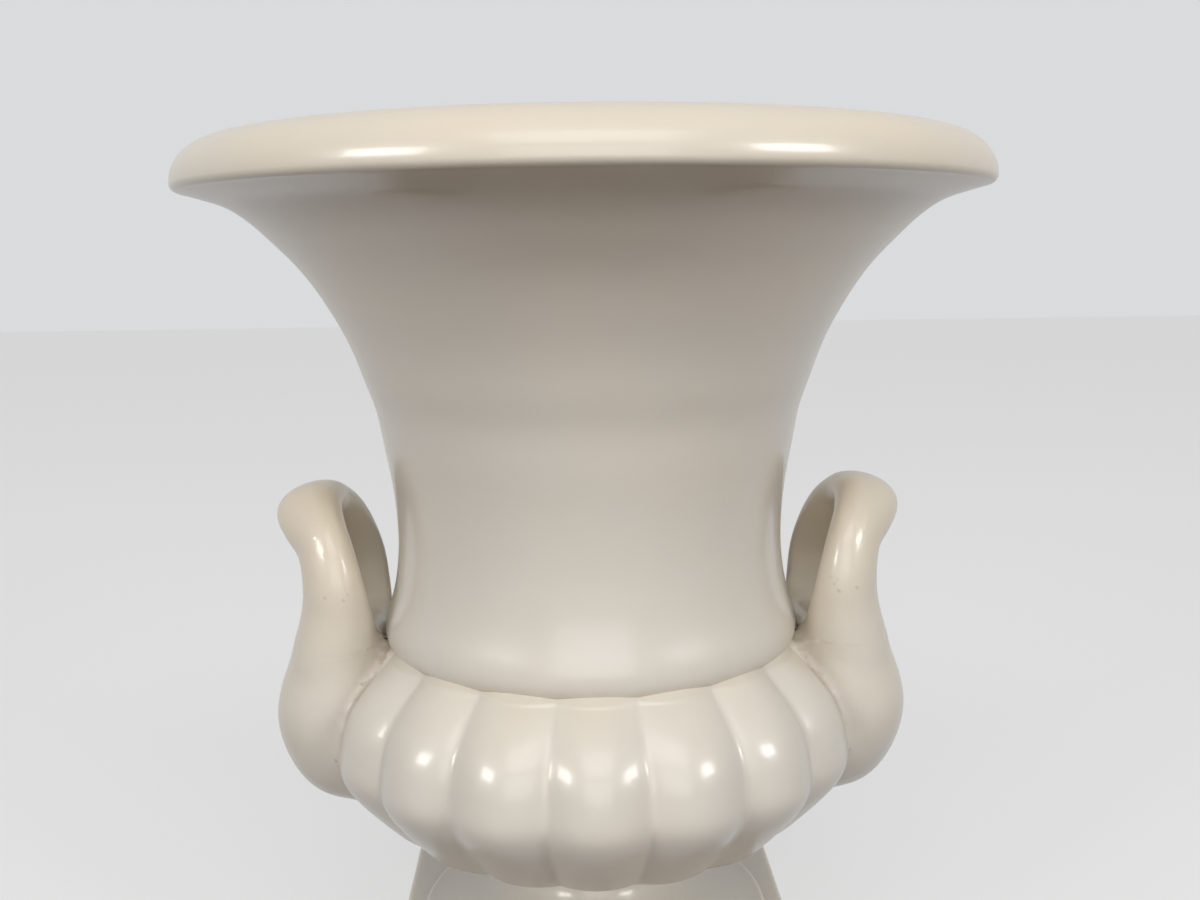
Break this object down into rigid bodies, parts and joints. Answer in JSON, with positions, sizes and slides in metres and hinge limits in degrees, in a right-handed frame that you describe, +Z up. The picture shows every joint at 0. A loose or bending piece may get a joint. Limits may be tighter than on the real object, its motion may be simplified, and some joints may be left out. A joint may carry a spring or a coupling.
{
  "type": "urn vase",
  "caption": "Glazed pottery urn vase: flaring trumpet neck with rolled lip, gadrooned bowl, loop handles at the shoulder, round foot on a square plinth.",
  "frame": {"origin": "middle of the plinth's underside, on the vase's axis", "axes": "+Z up along the vase's axis, the two handles along X, one lobe of the bowl facing -Y"},
  "size_m": [0.2, 0.2, 0.2226],
  "materials": {
    "satin_glaze": "satin off-white glaze",
    "fired_slip": "fired slip under glaze"
  },
  "bodies": {
    "root": {"square_plinth": "satin_glaze", "plinth_slip_joint": "fired_slip", "round_foot": "satin_glaze", "foot_slip_joint": "fired_slip", "gadrooned_bowl": "satin_glaze", "neck_slip_joint": "fired_slip", "trumpet_neck": "satin_glaze", "left_handle_slip_joint": "fired_slip", "left_handle": "satin_glaze", "right_handle_slip_joint": "fired_slip", "right_handle": "satin_glaze"}
  },
  "joints": []
}
